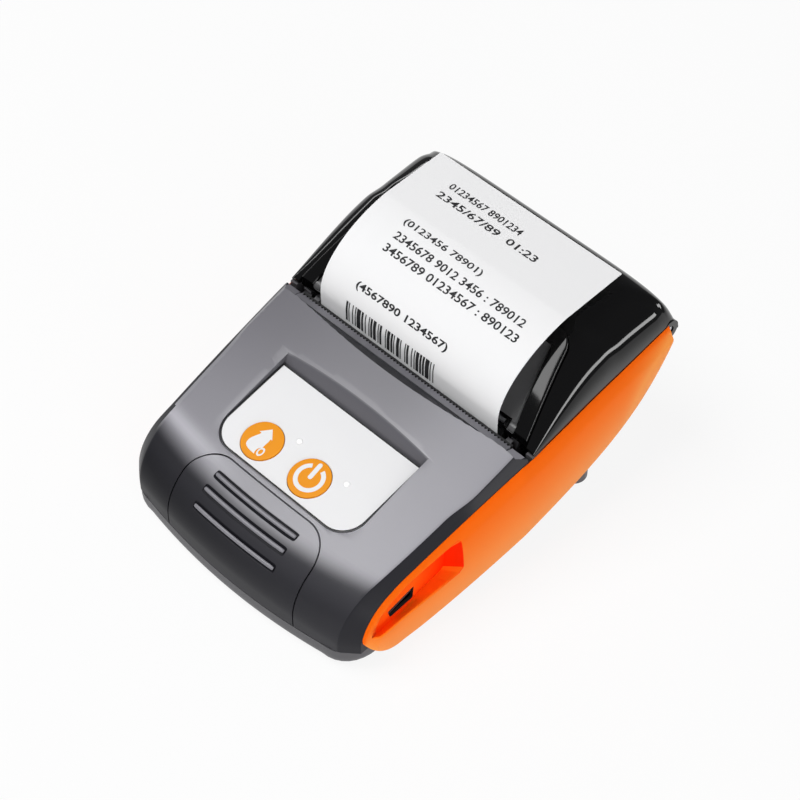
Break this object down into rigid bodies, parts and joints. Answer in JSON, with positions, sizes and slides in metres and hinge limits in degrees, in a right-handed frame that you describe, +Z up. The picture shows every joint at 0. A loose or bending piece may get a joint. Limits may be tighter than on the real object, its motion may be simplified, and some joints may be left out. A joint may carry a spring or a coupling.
{
  "type": "portable receipt printer",
  "caption": "Hand-held thermal receipt printer with a sloping control top, orange side panels, a hinged glossy paper cover and a printed strip curling back over it.",
  "frame": {"origin": "middle of the flat underside, on the floor", "axes": "+X to the right as the user faces the keys, +Y to the back, +Z up"},
  "size_m": [0.0838, 0.1102, 0.0517],
  "materials": {
    "grey_plastic": "fine satin grain",
    "dark_plastic": "matte",
    "orange_plastic": "satin gloss",
    "black_gloss": "high gloss",
    "label_film": "smooth printed film",
    "amber_film": "smooth printed film",
    "paper": "smooth thermal paper",
    "card": "raw card",
    "steel": "bright",
    "aluminium": "milled",
    "rubber": "matte",
    "board_green": "solder mask",
    "white_plastic": "moulded",
    "ceramic": "glazed strip",
    "clear_plastic": "clear",
    "cell_wrap": "shrink wrap"
  },
  "bodies": {
    "base": {"lower_case": "dark_plastic", "upper_case": "grey_plastic", "side_panel_right": "orange_plastic", "side_panel_left": "orange_plastic", "tear_bar": "steel", "control_panel": "label_film", "led_window_left": "clear_plastic", "led_window_right": "clear_plastic", "feed_switch": "dark_plastic", "power_switch": "dark_plastic", "main_board": "board_green", "radio_module": "steel", "buzzer": "dark_plastic", "usb_board": "board_green", "usb_port": "steel", "battery_pack": "cell_wrap", "battery_connector": "white_plastic", "mechanism_frame": "dark_plastic", "head_spring_right": "steel", "head_spring_left": "steel", "idler_post": "steel", "stepper_motor": "steel", "paper_bin": "dark_plastic", "paper_web": "paper", "hinge_pin": "steel", "case_screw_1": "steel", "case_screw_2": "steel", "case_screw_3": "steel", "case_screw_4": "steel"},
    "cover": {"paper_cover": "black_gloss", "platen_carrier_right": "dark_plastic", "platen_carrier_left": "dark_plastic", "platen_bush_right": "white_plastic", "platen_bush_left": "white_plastic", "lever_pin": "steel", "paper_strip": "paper"},
    "lever": {"release_lever": "black_gloss"},
    "platen": {"platen_roller": "rubber", "platen_shaft": "steel", "platen_gear": "white_plastic"},
    "idler": {"idler_gear": "white_plastic"},
    "pinion": {"motor_pinion": "white_plastic"},
    "roll": {"paper_roll": "paper", "roll_core": "card"},
    "head": {"print_head": "ceramic", "head_heat_sink": "aluminium"},
    "feed_key": {"feed_button": "amber_film"},
    "power_key": {"power_button": "amber_film"},
    "door": {"battery_door": "grey_plastic"}
  },
  "joints": [
    {"name": "cover_hinge", "type": "hinge", "parent": "base", "child": "cover", "pos_m": [0, 0.052, 0.035], "axis": [-1, 0, 0], "range_deg": [0, 95]},
    {"name": "lever_pull", "type": "hinge", "parent": "cover", "child": "lever", "pos_m": [0, 0.0073, 0.032], "axis": [1, 0, 0], "range_deg": [0, 10]},
    {"name": "platen_spin", "type": "hinge", "parent": "cover", "child": "platen", "pos_m": [0, 0.0096, 0.0256], "axis": [1, 0, 0], "continuous": true},
    {"name": "motor_spin", "type": "hinge", "parent": "base", "child": "pinion", "pos_m": [-0.0349, -0.0023, 0.00956], "axis": [1, 0, 0], "continuous": true},
    {"name": "idler_spin", "type": "hinge", "parent": "base", "child": "idler", "pos_m": [-0.0349, 0.00459, 0.01577], "axis": [1, 0, 0], "continuous": true},
    {"name": "roll_spin", "type": "hinge", "parent": "base", "child": "roll", "pos_m": [0, 0.031, 0.027], "axis": [1, 0, 0], "continuous": true},
    {"name": "head_pivot", "type": "hinge", "parent": "base", "child": "head", "pos_m": [0, 0.0024, 0.019], "axis": [1, 0, 0], "range_deg": [0, 1]},
    {"name": "feed_press", "type": "slide", "parent": "base", "child": "feed_key", "axis": [0, 0.1838, -0.983], "range_m": [0, 0.0004], "stiffness_N_per_m": 600},
    {"name": "power_press", "type": "slide", "parent": "base", "child": "power_key", "axis": [0, 0.1838, -0.983], "range_m": [0, 0.0004], "stiffness_N_per_m": 600},
    {"name": "door_slide", "type": "slide", "parent": "base", "child": "door", "axis": [0, -0.7071, 0.7071], "range_m": [0, 0.035]}
  ],
  "couplings": [
    {"joint": "idler_spin", "follows": "motor_spin", "ratio": -0.38461},
    {"joint": "platen_spin", "follows": "motor_spin", "ratio": 0.58823}
  ]
}
